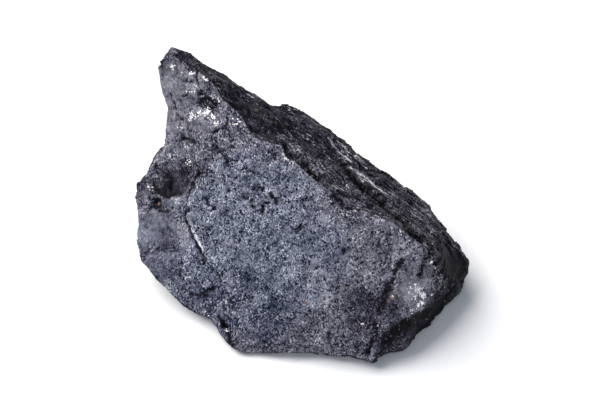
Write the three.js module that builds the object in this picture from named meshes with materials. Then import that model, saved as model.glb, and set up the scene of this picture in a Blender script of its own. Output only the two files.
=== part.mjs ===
// A broken lump of black coal-like charcoal, resting on its flat underside.
// Millimetres, +Z up. The origin is the bottom centre of the bounding box.
//
// The lump is one piece. Its form is a closed cage of corner points, each where broken faces of
// the lump meet, and a list of the faces between them. The faces are then split and roughened a
// little, as a fracture is, while the face it rests on stays flat.
import * as THREE from 'three';

// Driving dimensions of the finished lump
const length = 91.5;    // along X, from the left lobe to the right tip
const depth = 74;       // along Y, from the front tip to the horn
const height = 45;      // the horn, the highest point, above the floor

// Fracture roughness: how far a new point strays, as a share of the edge it splits
const splits = 2;
const roughness = 0.045;
const lowestRoughPoint = 0.4;

// Corner points, in the lump's own frame, +X right, +Y back
const corners = {
  // horn: the raised back left end
  hornTip: [-35, 37, 45],
  hornCap: [-36.8, 33.5, 44.5],
  hornSpur: [-38.5, 32, 42.5],
  hornSide: [-38, 29.5, 39],
  hornBack: [-29.7, 36, 43.5],
  hornInner: [-28.5, 24.5, 37],
  hornLow: [-32, 21.5, 32.5],
  hornPit: [-26, 21, 34.5],
  neckTop: [-36, 25, 34.5],
  neckMiddle: [-36, 21, 29.5],
  neckNick: [-37, 19.5, 27],
  neckLow: [-37.5, 17, 24.5],
  neckInner: [-31.5, 16, 26.5],

  // crest: the long edge between the broad bedding face and the side behind it
  crestHorn: [-29.5, 31.5, 43.5],
  crestNeck: [-24.5, 28, 42],
  crestNick: [-21, 23.5, 39],
  crestRise: [-17, 20.5, 38],
  crestTop: [-14.5, 17, 36.5],
  crestShelf: [-11.5, 13.5, 34],
  crestKnob: [-5, 11.5, 34.5],
  crestStep: [-3.5, 8.5, 32.5],
  crestMiddle: [2.5, 4.5, 30.5],
  crestDip: [8.5, 0.5, 28.5],
  crestHollow: [11.5, -3, 26.5],
  crestSwell: [18, -6, 26.5],
  crestBrow: [23.5, -7.5, 27],
  crestFall: [31, -12.5, 24.5],
  crestEnd: [33.5, -14, 23],

  // rim: the outer edge of the side behind the crest, at the top of the back wall
  rimHorn: [-26, 35.2, 39.5],
  rimNeck: [-15.5, 32, 33],
  rimNotch: [-8.5, 30, 28.5],
  rimShoulder: [-4, 31, 27],
  rimStart: [0.5, 30, 25],
  rimFirst: [5.5, 28, 22.5],
  rimSecond: [12.5, 24.2, 19.5],
  rimThird: [18.5, 19, 17.5],
  rimFourth: [24.5, 15, 16],
  rimFifth: [28, 12.5, 15],
  rimSixth: [35.5, 6.8, 13],
  rimSeventh: [37.5, 2.5, 12],
  rimEighth: [41, -1.4, 10.5],
  rimLast: [43.5, -4.5, 9.5],

  // side behind the crest: ledges and creases along the beds
  blackHollow: [-13.5, 20.5, 34.5],
  shoulderBack: [-7.5, 21.5, 33.5],
  shoulderEnd: [0, 24, 29],
  shoulderFront: [-3, 17.5, 31.5],
  shoulderLow: [3, 16, 28],
  ledgeTop: [8, 21.5, 25.5],
  ledgeMiddle: [12, 18, 22.5],
  ledgeLow: [18.5, 12, 20.5],
  creaseTop: [9.5, 15.5, 24],
  creaseMiddle: [14, 11, 23],
  creaseLow: [17.5, 5.5, 22.5],
  creaseEnd: [21.5, -0.5, 23.5],
  backFacet: [25.5, 5, 20],
  backFacetLow: [32.5, -0.5, 18.5],
  backFacetEnd: [37.5, -6.5, 16.5],

  // broad bedding face, facing the front, nearly flat
  faceTop: [-15, 9.5, 31],
  facePit: [-10.5, 1, 25],
  faceUpper: [0, -1, 26.5],
  faceBrow: [19.5, -10.5, 24],
  faceLeft: [-20, -6.5, 18.5],
  faceMiddle: [8, -13.5, 19.5],
  faceEdge: [27.5, -15, 22],
  faceLower: [-8, -19.5, 11.5],
  faceLow: [12, -25.5, 11],
  browLeft: [-17.5, -29.5, 3],
  browMiddle: [0, -32, 4.5],
  browRight: [12, -33, 6],

  // seam: the edge between the broad face and the left lobe
  seamTop: [-20.5, 17, 35.5],
  seamBend: [-25, 15.5, 32.5],
  seamNeck: [-27, 12, 29.5],
  seamHollow: [-27, 6.5, 26],
  seamKnob: [-30.5, -1, 20.5],
  seamSplit: [-28, -7.5, 16.5],
  seamFoot: [-25.5, -11.5, 14],
  seamSlope: [-23, -18, 9],
  seamEnd: [-20.5, -25, 4.5],

  // left lobe, with the hollow above it
  lobeTop: [-42, 14, 20],
  lobeFold: [-45.3, 11.5, 17.5],
  hollowLeft: [-38, 14, 21],
  hollowRight: [-30, 11.5, 24.5],
  hollowFloor: [-34.5, 11, 18.5],
  lipLeft: [-39.5, 9, 17.5],
  lipMiddle: [-35.5, 6.5, 18],
  lipRight: [-31, 3.5, 20],
  lobeShoulder: [-45.5, 9, 14.5],
  lobeNick: [-44.5, 1.5, 11.5],
  lobeUpper: [-39, 2, 12.5],
  lobeInner: [-32, -3.5, 13.5],
  lobeMiddle: [-34, -5.5, 10.5],
  lobeNose: [-45, -2, 9.5],
  lobeCorner: [-43.7, -7.5, 7.5],
  lobeSlope: [-39, -12.5, 5.5],
  lobeToe: [-34, -17.5, 4.5],
  lobeHeel: [-30.5, -20, 2.5],

  // front edge, low over the floor
  frontNick: [-24.5, -23.5, 3.5],
  frontStep: [-22, -27, 2],
  frontCorner: [-19.5, -30.5, 1.5],
  frontLeft: [-16.5, -32.6, 1],
  frontMiddle: [8, -34, 2],
  tipNotch: [15.5, -35.5, 3],
  frontTip: [19, -36.5, 3],

  // right end: the small bright facet, the dark end and the wall under them
  ridgeTop: [25.5, -19, 19.5],
  ridgeLow: [23, -25.5, 14],
  tipLeft: [18, -31, 8.5],
  facetTop: [33.5, -16, 19.5],
  facetNeck: [31.5, -19, 17],
  facetMiddle: [28.5, -23, 14],
  facetBack: [34, -20.5, 13],
  facetEnd: [33, -23, 12],
  facetLow: [29, -27.5, 10.5],
  facetFoot: [25.5, -29.5, 9.5],
  tipRight: [24, -32.5, 6.5],
  endMiddle: [39, -13, 14],
  endLow: [38, -17.5, 10],
  rightTop: [45.5, -8, 9],
  rightTip: [45.5, -11, 7],
  rightLow: [44, -12, 4],
  rightFoot: [43.5, -13.5, 1.5],
  flankRight: [37.5, -20, 1],
  flankMiddle: [32.5, -25.5, 1],
  flankLeft: [27, -31, 1.5],
  flankEnd: [22.5, -34, 3],

  // back wall, with a ledge where a bed has broken away
  wallHorn: [-33.5, 36, 29],
  wallHornLow: [-34.5, 31.5, 12],
  wallNeck: [-22, 35.5, 22],
  wallFirst: [-9, 34, 17],
  wallSecond: [6.5, 31, 12.5],
  wallThird: [19.5, 22.5, 8.5],
  wallFourth: [31.5, 11.5, 7.5],
  wallLast: [41, 1, 4.5],
  ledgeBackLeft: [-18, 31, 26],
  ledgeBackMiddle: [-4, 30, 21],
  ledgeBackRight: [10, 25.5, 16],
  leftWallRib: [-35.5, 31, 26],
  leftWallTop: [-35, 25.5, 21],
  leftWallLow: [-38.5, 21, 9],
  leftWallFoot: [-42, 10, 7],
  leftWallNose: [-41.5, 0, 4.5],

  // flat underside
  baseFrontLeft: [-17, -28.5, 0],
  baseFront: [5, -30, 0],
  baseFrontRight: [18, -31.5, 0],
  baseFlankLeft: [25, -28, 0],
  baseFlankRight: [33, -20.5, 0],
  baseRight: [39, -12, 0],
  baseRightBack: [37.5, -2, 0],
  baseBackRight: [29, 7.5, 0],
  baseBackMiddle: [17, 18.5, 0],
  baseBack: [4, 26.5, 0],
  baseBackLeft: [-12, 29.5, 0],
  baseHorn: [-27, 30, 0],
  baseLeftBack: [-34.5, 20, 0],
  baseLeft: [-37, 6, 0],
  baseLeftFront: [-36.5, -5, 0],
  baseLobe: [-30, -14, 0],
  baseNick: [-22.5, -20.5, 0],
};

// Faces, each a ring of corner names, anticlockwise seen from outside
const faces = `
  hornTip hornCap hornSpur hornSide hornInner crestHorn
  hornSide neckTop hornLow hornInner
  hornInner hornLow hornPit
  crestHorn hornInner hornPit crestNick crestNeck
  hornPit seamTop crestTop crestRise crestNick
  neckTop neckMiddle hornLow
  hornLow neckMiddle neckNick neckLow neckInner
  hornLow neckInner seamBend seamTop hornPit
  neckInner seamNeck seamBend
  neckLow lobeTop hollowLeft hollowRight neckInner
  neckInner hollowRight seamNeck
  hollowRight seamHollow seamNeck

  hollowLeft hollowFloor hollowRight
  hollowRight hollowFloor lipRight seamHollow
  hollowLeft lipLeft lipMiddle hollowFloor
  hollowFloor lipMiddle lipRight
  lobeTop lobeFold lipLeft hollowLeft
  lobeFold lobeShoulder lipLeft
  lobeShoulder lobeNick lobeUpper lipLeft
  lipLeft lobeUpper lipMiddle
  lipMiddle lobeUpper lobeInner seamKnob lipRight
  lipRight seamKnob seamHollow
  lobeNick lobeNose lobeCorner lobeMiddle lobeUpper
  lobeUpper lobeMiddle lobeInner
  lobeInner seamSplit seamKnob
  lobeInner lobeMiddle seamFoot seamSplit
  lobeCorner lobeSlope lobeToe seamSlope seamFoot lobeMiddle
  lobeToe lobeHeel seamSlope
  lobeHeel frontNick seamEnd seamSlope
  frontNick frontStep seamEnd
  frontStep frontCorner seamEnd

  seamTop seamBend seamNeck faceTop crestShelf crestTop
  faceTop crestStep crestKnob crestShelf
  seamNeck seamHollow faceTop
  seamHollow facePit faceTop
  seamHollow seamKnob faceLeft facePit
  seamKnob seamSplit faceLeft
  seamSplit seamFoot faceLeft
  seamFoot seamSlope faceLower faceLeft
  seamSlope seamEnd browLeft faceLower
  seamEnd frontCorner browLeft
  frontCorner frontLeft browLeft
  frontLeft frontMiddle browMiddle browLeft
  frontMiddle tipNotch browRight browMiddle
  tipNotch frontTip tipLeft browRight
  browLeft browMiddle faceLower
  browMiddle browRight faceLow faceLower
  browRight tipLeft faceLow
  faceLow tipLeft ridgeLow
  facePit faceUpper crestMiddle crestStep faceTop
  faceUpper crestHollow crestDip crestMiddle
  faceUpper faceBrow crestSwell crestHollow
  faceBrow crestFall crestBrow crestSwell
  facePit faceLeft faceMiddle faceUpper
  faceUpper faceMiddle faceBrow
  faceLeft faceLower faceMiddle
  faceLower faceLow faceMiddle
  faceMiddle faceLow ridgeLow ridgeTop
  faceMiddle ridgeTop faceBrow
  faceBrow ridgeTop faceEdge crestFall
  faceEdge ridgeTop facetNeck facetTop
  faceEdge facetTop crestEnd crestFall

  ridgeTop ridgeLow facetMiddle facetNeck
  ridgeLow facetFoot facetLow facetMiddle
  facetMiddle facetLow facetEnd facetBack facetNeck
  ridgeLow tipLeft tipRight facetFoot
  tipLeft frontTip tipRight
  tipRight frontTip flankEnd
  facetFoot tipRight flankEnd flankLeft
  facetLow facetFoot flankLeft flankMiddle
  facetEnd facetLow flankMiddle flankRight
  facetBack facetEnd flankRight endLow
  facetTop facetNeck facetBack endLow endMiddle
  crestEnd facetTop endMiddle backFacetEnd
  backFacetEnd endMiddle rightTop rimLast
  endMiddle rightTip rightTop
  endMiddle endLow rightLow rightTip
  endLow flankRight rightFoot rightLow

  hornTip crestHorn crestNeck rimHorn hornBack
  crestNeck crestNick rimNeck rimHorn
  crestNick crestRise blackHollow rimNeck
  crestRise crestTop blackHollow
  blackHollow crestTop crestShelf shoulderBack
  crestShelf crestKnob shoulderFront shoulderBack
  crestKnob crestStep shoulderFront
  rimNeck blackHollow shoulderBack rimNotch
  rimNotch shoulderBack shoulderEnd rimShoulder
  rimShoulder shoulderEnd rimStart
  shoulderBack shoulderFront shoulderLow shoulderEnd
  shoulderFront crestStep crestMiddle shoulderLow
  shoulderEnd shoulderLow creaseTop ledgeTop
  shoulderEnd ledgeTop rimFirst rimStart
  rimFirst ledgeTop ledgeMiddle rimSecond
  ledgeTop creaseTop ledgeMiddle
  creaseTop creaseMiddle ledgeLow ledgeMiddle
  ledgeMiddle ledgeLow rimThird rimSecond
  shoulderLow crestMiddle creaseMiddle creaseTop
  crestMiddle crestDip creaseLow creaseMiddle
  crestDip crestHollow creaseEnd creaseLow
  crestHollow crestSwell creaseEnd
  crestSwell crestBrow creaseEnd
  creaseMiddle creaseLow backFacet ledgeLow
  creaseLow creaseEnd backFacet
  ledgeLow backFacet rimFifth rimFourth rimThird
  creaseEnd crestBrow crestFall backFacetLow backFacet
  backFacet backFacetLow rimSeventh rimSixth rimFifth
  crestFall crestEnd backFacetEnd backFacetLow
  backFacetLow backFacetEnd rimEighth rimSeventh
  backFacetEnd rimLast rimEighth

  hornTip wallHorn leftWallRib hornSide hornSpur hornCap
  hornSide leftWallRib leftWallTop neckTop
  wallHorn wallHornLow leftWallRib
  leftWallRib wallHornLow leftWallLow leftWallTop
  hornTip hornBack rimHorn wallNeck wallHorn
  rimHorn rimNeck ledgeBackLeft wallNeck
  rimNeck rimNotch rimShoulder ledgeBackMiddle ledgeBackLeft
  rimShoulder rimStart ledgeBackMiddle
  rimStart rimFirst ledgeBackRight ledgeBackMiddle
  rimFirst rimSecond ledgeBackRight
  ledgeBackLeft ledgeBackMiddle wallFirst wallNeck
  ledgeBackMiddle ledgeBackRight wallSecond wallFirst
  ledgeBackRight rimSecond wallThird wallSecond
  rimSecond rimThird wallThird
  rimThird rimFourth rimFifth wallFourth wallThird
  rimFifth rimSixth rimSeventh wallFourth
  rimSeventh rimEighth wallFourth
  rimEighth rimLast wallLast wallFourth
  rimLast rightTop wallLast
  wallHorn wallNeck baseHorn wallHornLow
  wallNeck wallFirst baseBackLeft baseHorn
  wallFirst wallSecond baseBack baseBackLeft
  wallSecond wallThird baseBackMiddle baseBack
  wallThird wallFourth baseBackRight baseBackMiddle
  wallFourth wallLast baseRightBack baseBackRight
  rightTop rightTip rightLow wallLast
  wallLast rightLow baseRight baseRightBack
  rightLow rightFoot baseRight
  rightFoot flankRight baseFlankRight baseRight
  flankRight flankMiddle baseFlankRight
  flankMiddle flankLeft baseFlankLeft baseFlankRight
  flankLeft flankEnd baseFrontRight baseFlankLeft
  flankEnd frontTip baseFrontRight
  frontTip tipNotch baseFrontRight
  tipNotch frontMiddle baseFront baseFrontRight
  frontMiddle frontLeft baseFrontLeft baseFront
  frontLeft frontCorner baseFrontLeft
  frontCorner frontStep frontNick baseNick baseFrontLeft
  frontNick lobeHeel baseLobe baseNick
  lobeHeel lobeToe baseLobe
  lobeToe lobeSlope baseLobe
  lobeSlope lobeCorner leftWallNose baseLeftFront baseLobe
  lobeCorner lobeNose leftWallNose
  lobeNose lobeNick leftWallFoot leftWallNose
  lobeNick lobeShoulder leftWallFoot
  leftWallNose leftWallFoot baseLeft baseLeftFront
  lobeShoulder lobeFold lobeTop leftWallLow leftWallFoot
  lobeTop neckLow leftWallTop leftWallLow
  neckLow neckNick neckMiddle neckTop leftWallTop
  leftWallLow wallHornLow baseHorn baseLeftBack
  leftWallFoot leftWallLow baseLeftBack baseLeft

  baseFrontLeft baseNick baseLobe baseLeftFront baseLeft baseLeftBack baseHorn baseBackLeft
    baseBack baseBackMiddle baseBackRight baseRightBack baseRight baseFlankRight
    baseFlankLeft baseFrontRight baseFront
`;

// A ring that is too long for its line goes on, further in, on the next
const rings = faces.replace(/\n {4,}/g, ' ').split('\n').map((row) => row.trim()).filter(Boolean);

const names = Object.keys(corners);
const points = names.map((name) => new THREE.Vector3(...corners[name]));

// Newell's rule: the mean normal of a ring that may not be quite flat
function ringNormal(ring) {
  const normal = new THREE.Vector3();
  ring.forEach((index, k) => {
    const here = points[index];
    const next = points[ring[(k + 1) % ring.length]];
    normal.x += (here.y - next.y) * (here.z + next.z);
    normal.y += (here.z - next.z) * (here.x + next.x);
    normal.z += (here.x - next.x) * (here.y + next.y);
  });
  return normal.normalize();
}

// Cut a ring into triangles in its own plane
function cutRing(ring) {
  const normal = ringNormal(ring);
  const side = new THREE.Vector3().subVectors(points[ring[1]], points[ring[0]]).normalize();
  const up = new THREE.Vector3().crossVectors(normal, side);
  const flat = ring.map((index) => new THREE.Vector2(points[index].dot(side), points[index].dot(up)));
  return THREE.ShapeUtils.triangulateShape(flat, []).map((triangle) => triangle.map((k) => ring[k]));
}

// Steady noise from -1 to 1, the same on every run
function noise(seed) {
  const wave = Math.sin(seed * 12.9898) * 43758.5453;
  return 2 * (wave - Math.floor(wave)) - 1;
}

// The point half way along an edge, moved a little off it. Edges of the flat underside stay flat.
function splitEdge(a, b) {
  const middle = new THREE.Vector3().addVectors(points[a], points[b]).multiplyScalar(0.5);
  if (points[a].z === 0 && points[b].z === 0) {
    return middle;
  }
  const stray = roughness * points[a].distanceTo(points[b]);
  const seed = points.length;
  middle.add(new THREE.Vector3(noise(seed), noise(seed + 0.3), noise(seed + 0.6)).multiplyScalar(stray));
  middle.z = Math.max(middle.z, lowestRoughPoint);
  return middle;
}

// Split every triangle into four, sharing the new point of each edge with its neighbour
function roughen(triangles) {
  const middles = new Map();
  const middleOf = (a, b) => {
    const key = a < b ? `${a} ${b}` : `${b} ${a}`;
    if (!middles.has(key)) {
      const middle = splitEdge(Math.min(a, b), Math.max(a, b));
      middles.set(key, points.push(middle) - 1);
    }
    return middles.get(key);
  };
  return triangles.flatMap(([a, b, c]) => {
    const ab = middleOf(a, b);
    const bc = middleOf(b, c);
    const ca = middleOf(c, a);
    return [[a, ab, ca], [ab, b, bc], [ca, bc, c], [ab, bc, ca]];
  });
}

let triangles = rings.flatMap((row) => cutRing(row.split(/\s+/).map((name) => names.indexOf(name))));
for (let pass = 0; pass < splits; pass += 1) {
  triangles = roughen(triangles);
}

const geometry = new THREE.BufferGeometry().setFromPoints(points);
geometry.setIndex(triangles.flat());

// Bring the roughened lump to its driving dimensions, with the origin at its bottom centre
geometry.computeBoundingBox();
const size = geometry.boundingBox.getSize(new THREE.Vector3());
const centre = geometry.boundingBox.getCenter(new THREE.Vector3());
geometry.translate(-centre.x, -centre.y, -geometry.boundingBox.min.z);
geometry.scale(length / size.x, depth / size.y, height / size.z);
geometry.computeVertexNormals();

const blackStone = new THREE.MeshStandardMaterial({ color: 0x3a3c42, roughness: 0.6, metalness: 0 });
blackStone.flatShading = true;

const lump = new THREE.Mesh(geometry, blackStone);
lump.name = 'lump';

const group = new THREE.Group();
group.add(lump);

export default group;
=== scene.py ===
"""One broken lump of black charcoal: its fine surface, its finish, and a plain studio."""
import math

import bmesh
import bpy
import numpy as np
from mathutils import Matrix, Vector
from mathutils.bvhtree import BVHTree


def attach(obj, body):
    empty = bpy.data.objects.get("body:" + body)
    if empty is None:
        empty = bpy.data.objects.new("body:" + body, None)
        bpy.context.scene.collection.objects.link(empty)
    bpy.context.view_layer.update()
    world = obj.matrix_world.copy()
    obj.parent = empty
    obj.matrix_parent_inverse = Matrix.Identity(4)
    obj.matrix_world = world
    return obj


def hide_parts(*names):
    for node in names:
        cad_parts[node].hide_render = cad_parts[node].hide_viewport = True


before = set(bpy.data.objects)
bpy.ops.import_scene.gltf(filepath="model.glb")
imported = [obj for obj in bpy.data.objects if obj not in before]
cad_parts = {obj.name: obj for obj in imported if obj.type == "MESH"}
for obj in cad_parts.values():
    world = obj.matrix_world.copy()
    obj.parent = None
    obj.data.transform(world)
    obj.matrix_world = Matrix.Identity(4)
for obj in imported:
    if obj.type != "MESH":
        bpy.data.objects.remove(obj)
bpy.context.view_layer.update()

MM = 0.001
VOXEL = 0.28                    # mesh step of the fine surface, mm
MOST_TRIANGLES = 196000
UNDERSIDE = 0.03                # faces all below this height make the flat underside, mm

# Ways in which the lump's parts face or run, and one place on it in mm
BED_NORMAL = Vector((-0.156, -0.567, 0.809)).normalized()
BED_ALONG = Vector((0.819, -0.531, -0.216)).normalized()
BED_ACROSS = BED_NORMAL.cross(BED_ALONG)
DUSTY_SIDE = Vector((-0.34, -0.50, 0.80)).normalized()
DIP = Vector((0.0, -0.819, -0.574)).normalized()
BEHIND = (0.0, 1.0, -0.6)
TO_FRONT_RIGHT = (0.7, -0.7, 0.0)
TO_RIGHT = (1.0, -0.3, 0.0)
BLUE_MIDDLE = (-13.0, -9.0, 18.0)   # the dust is bluest round here

# The relief: sizes and depths in mm, slopes and the back's factor without a unit
RELIEF = {
    "Skin": 0.1,
    "Chip size": 6.0,
    "Chip slope": 0.09,
    "Flake size": 2.0,
    "Flake slope": 0.09,
    "Bed thickness": 1.9,
    "Bed depth": 0.8,
    "Lamina thickness": 0.75,
    "Lamina depth": 0.3,
    "Swell size": 6.0,
    "Swell depth": 0.55,
    "Grain size": 0.85,
    "Grain depth": 0.2,
    "Hole spacing": 1.25,
    "Hole depth": 0.3,
    "Pit depth": 0.9,
    "Back relief": 1.45,
}
EDGE_ROUNDING = 3               # turns of blur that round the solid's edges
BROAD_BLUR = 12                 # turns of blur that leave only how the broad shape faces
EDGE_WANDER = 0.25              # how far noise moves the dusty face's edge
CHIP_WANDER = 1.6               # mm
BED_LIFT = 1.4                  # mm
CHIP_ON_FACE = 0.35             # share of the chips left on the bedding face
HOLE_OFF_FACE = 0.5             # share of the holes' reach off it
HOLE_CORE = 0.4                 # flat middle of a hole, as a share of its reach
HAIR = 0.001                    # mm
GRAIN_NOISE = (3.0, 0.7)        # detail and roughness
CALMED = 0.85                   # share of the relief that the calm stretches lose
# Share of each that the smooth facets lose
SMOOTHED = {"chips": 0.75, "beds": 0.75, "holes": 0.8, "grain": 0.7}

# Eased ramps: a value's low and high end, then what it becomes there. Left out, that is 0
# and 1, or given where the ramp is used.
RAMPS = {
    "clear of the floor": (0.05, 0.6),
    "off the edges": (0.72, 0.95, 0.2, 1.0),
    "dusty face": (0.66, 0.76),
    "across the beds": (0.6, 0.92, 1.0, 0.0),
    "back": (9.0, 16.0),
    "bed patches": (0.35, 0.6, 0.35, 1.0),
    "hole reach": (0.3, 1.0, 0.0, 0.36),
    "hole there": (0.02, 0.1),
    "crumbs": (0.42, 0.52),
    "gaps": (0.37, 0.47),
    "crevice there": (0.48, 0.58),
    "thread": (0.56, 0.66),
    "thread patches": (0.42, 0.6),
    "lively side": (-20.0, 30.0, 1.1, 0.88),
    "lively patches": (0.36, 0.64, 0.5, 1.5),
    "grainy side": (-18.0, 14.0, 0.45, 0.85),
    "grainy height": (3.0, 13.0, 0.5, 1.0),
    "soft height": (14.0, 32.0, 0.6, 1.2),
    "streak lines": (0.42, 0.54, 0.3, 1.0),
    "solid streak": (1.3, 1.7),
    "far from blue": (15.0, 30.0),
    "smooth height": (9.0, 18.0),
    "right flank": (18.0, 26.0),
    "bare": (-0.3, -0.12, 1.0, 0.0),
    "hue for tone": (0.2, 0.6, 1.08, 0.82),
    "hue for streak": (0.6, 1.0, 1.0, 0.35),
    "rusty grains": (0.4, 0.55),
    "painted glint speck chosen": (0.0, 0.01),
    "painted glint speck edge": (0.42, 0.55, 1.0, 0.0),
    "painted glint blob": (0.92, 1.05),
    "painted_sparkle": (0.99, 0.992),
}

# Noise: size in mm, detail, roughness
NOISES = {
    "edge wander": (3.0, 2.0, 0.5),
    "chip wander": (5.0, 2.0, 0.5),
    "bed lift": (9.0, 2.0, 0.5),
    "bed patches": (6.0, 2.0, 0.5),
    "crumbs": (0.8, 2.0, 0.6),
    "fine": (0.3, 2.0, 0.7),
    "middle": (0.9, 3.0, 0.65),
    "blotch": (4.0, 3.0, 0.6),
    "layer": (0.5, 3.0, 0.7),
    "band": (2.2, 2.0, 0.6),
    "thread": (0.4, 2.0, 0.6),
    "thread patches": (5.0, 3.0, 0.6),
    "lively patches": (1.8, 2.0, 0.5),
    "mottle": (1.8, 2.0, 0.6),
    "streak lines": (0.3, 2.0, 0.5),
    "hue drift": (12.0, 1.0, 0.5),
    "hue flecks": (2.0, 2.0, 0.5),
    "flake": (0.55, 2.0, 0.5),
}
# How many times longer along the beds than across them
STRETCH = {"layer": 9.0, "band": 14.0, "thread": 16.0, "streak lines": 12.0, "flake edges": 1.8}
THINNED = 1.6                   # how much thinner through the beds
GRAIN_CELL = 0.27               # mm
GRAIN_DRAWN = 0.3               # how much the grain is drawn out down the face
# size of the cells in which the painted glint specks lie
PAINTED_GLINT_SPECK = 0.45                  # mm

# Tones are as the eye sees them, from 0 for black to 1 for white
BLACK_TONE = 0.10
DUST_TONE = 0.43
SMOOTH_TONE = 0.435
# The bright threads' tone: mostly a painted highlight along bed edges and ridges
STREAK_AND_PAINTED_HIGHLIGHT_TONE = 0.8
DARKEST_TONE = 0.04
PALEST_TONE = 0.85
# Holes, cracks and pits lose tone: partly the coal's own black, partly painted shade in the recess
HOLE_PAINTED_SHADE = 0.85               # share of its tone that a hole loses
STREAK_AND_PAINTED_HIGHLIGHT_LIMIT = 1.15             # a strong streak goes a little past its own tone
# Grain swings keep this share near the middle, and gain the other towards their ends
SPREAD_MIDDLE = 0.22
SPREAD_ENDS = 1.3
# How far each texture swings the tone on each kind of surface
ON_DUST = {"cell": 1.0, "fine": 0.8, "middle": 0.35, "blotch": 0.6, "crevice": 0.2, "pale cut": 0.38}
ON_BEDS = {"layer": 1.5, "band": 0.6, "thread": 0.65}
ON_BROKEN = {"middle": 0.9, "cell": 0.45, "fine": 1.1, "blotch": 0.35, "mottle": 0.35}
ON_SMOOTH = {"cell": 0.15, "fine": 0.45, "middle": 0.6, "blotch": 0.5}
ON_CRUMBS = {"cell": 0.4, "fine": 0.9, "middle": 1.5, "lift": 0.05, "flake edge": 0.3}
GRAINY_BACK = 0.55              # share of the fine grain left on the back

# What is added to the grey for its shade: red, green, blue
SHADES = {
    "blue dust": (0.0, 0.018, 0.081),
    "grey dust": (0.007, 0.0, 0.046),
    "broken side": (0.008, 0.0, 0.037),
    "low smooth facet": (0.0, 0.008, 0.062),
    "high smooth facet": (0.005, 0.0, 0.040),
    "right facet": (0.004, 0.0, 0.048),
    "bare": (0.006, 0.0, 0.034),
    "hole": (0.008, 0.003, 0.018),
}
HUE_DRIFT = 25.0                # mm
HUE_FLECKS = {"cell": 0.8, "patch": 1.6}
HOLE_SHADING = 0.8              # how far a hole takes on its own shade
SCREEN_GAMMA = 2.2
RUST_COLOUR = (0.38, 0.21, 0.10)
# Painted highlights: the white painted into the base colour where the surface glints, and the shares of it
# that the specks, blobs and sparkles get
PAINTED_GLINT_COLOUR = (0.96, 0.94, 0.93)
PAINTED_GLINT_SPECK_SHARE = 0.75
PAINTED_GLINT_BLOB_SWING = 1.5
PAINTED_SPARKLE = 0.18
# On the right flank the painted glints are partly metallic as well, and so also reflect the lamps
MIRROR_RIGHT = 0.6              # how metallic the glints on the right flank are
# Roughness, and how far each grain's own normal tilts
ROUGHNESS = {"broken": 0.5, "dust": 0.75, "painted_glint": 0.3}
TILT = {"broken": 0.15, "dust": 0.25, "smooth": 0.04, "painted_glint": 0.3}
BUMP_STRENGTH = 0.7
BUMP_DEPTH = 0.1                # mm
BUMP_ON_SMOOTH = 0.4
GLOSS = 0.12
# Dark lines between crumbs and pale edges of flakes: step and width in mm, and how they
# meander, as the size and the reach of the wander in steps
CREVICES = [(1.1, 0.14), (3.0, 0.22)]
CREVICE_MEANDER = (0.8, 0.3)
CREVICE_PATCH = 2.0             # size of the patches that have crevices, in steps
FLAKE_EDGES = (1.9, 0.3)
FLAKE_MEANDER = (0.5, 0.4)

# The studio: lengths in m, angles in degrees
LENS = 100.0                    # mm
SENSOR = 36.0                   # mm
CAMERA_RISE = 55.0
CAMERA_DISTANCE = 0.46
CAMERA_TARGET = Vector((0.00125, 0.0025, 0.020))
FLOOR_SIDE = 2.4
FILL_SIDE = (-0.4, -0.66, 0.64)
FILL_COLOUR = (0.77, 0.84, 1.0, 1.0)
FILL_RAMP = (-0.5, 1.0, 0.03, 0.53)


# How marks are laid on the surface
PATH_STEP = 0.4                 # mm
FIRMNESS = {"spot": 1.5, "crack": 1.5, "streak_and_painted_highlight": 1.8}
WAVES = np.array([[1.0, 0.6, -0.7], [-0.5, 1.1, 0.8], [0.8, -0.4, 1.0]])
# Ragged outlines: the waves' size and reach in mm
RAGGED = (3.1, 0.45)
BROADLY = (7.0, 1.2)
SLIGHTLY = (5.0, 0.12)
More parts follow.
